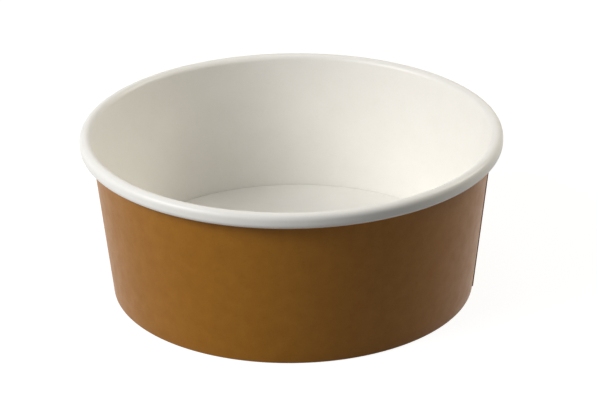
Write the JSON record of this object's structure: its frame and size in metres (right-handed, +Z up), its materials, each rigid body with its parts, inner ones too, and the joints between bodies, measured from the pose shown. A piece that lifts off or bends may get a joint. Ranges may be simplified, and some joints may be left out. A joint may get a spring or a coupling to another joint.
{
  "type": "paper salad bowl",
  "caption": "Round paper food bowl: a tapered brown board wall with a rolled white rim, white inside, and a raised white board floor clamped in the folded bottom edge.",
  "frame": {"origin": "centre of the ring that the bowl stands on", "axes": "+Z up along the bowl's axis, +X towards the sealed side seam"},
  "size_m": [0.15, 0.15, 0.06],
  "materials": {
    "kraft_board": "matte",
    "white_board": "satin"
  },
  "bodies": {
    "root": {"side_wall": "kraft_board", "base_disc": "white_board"}
  },
  "joints": []
}
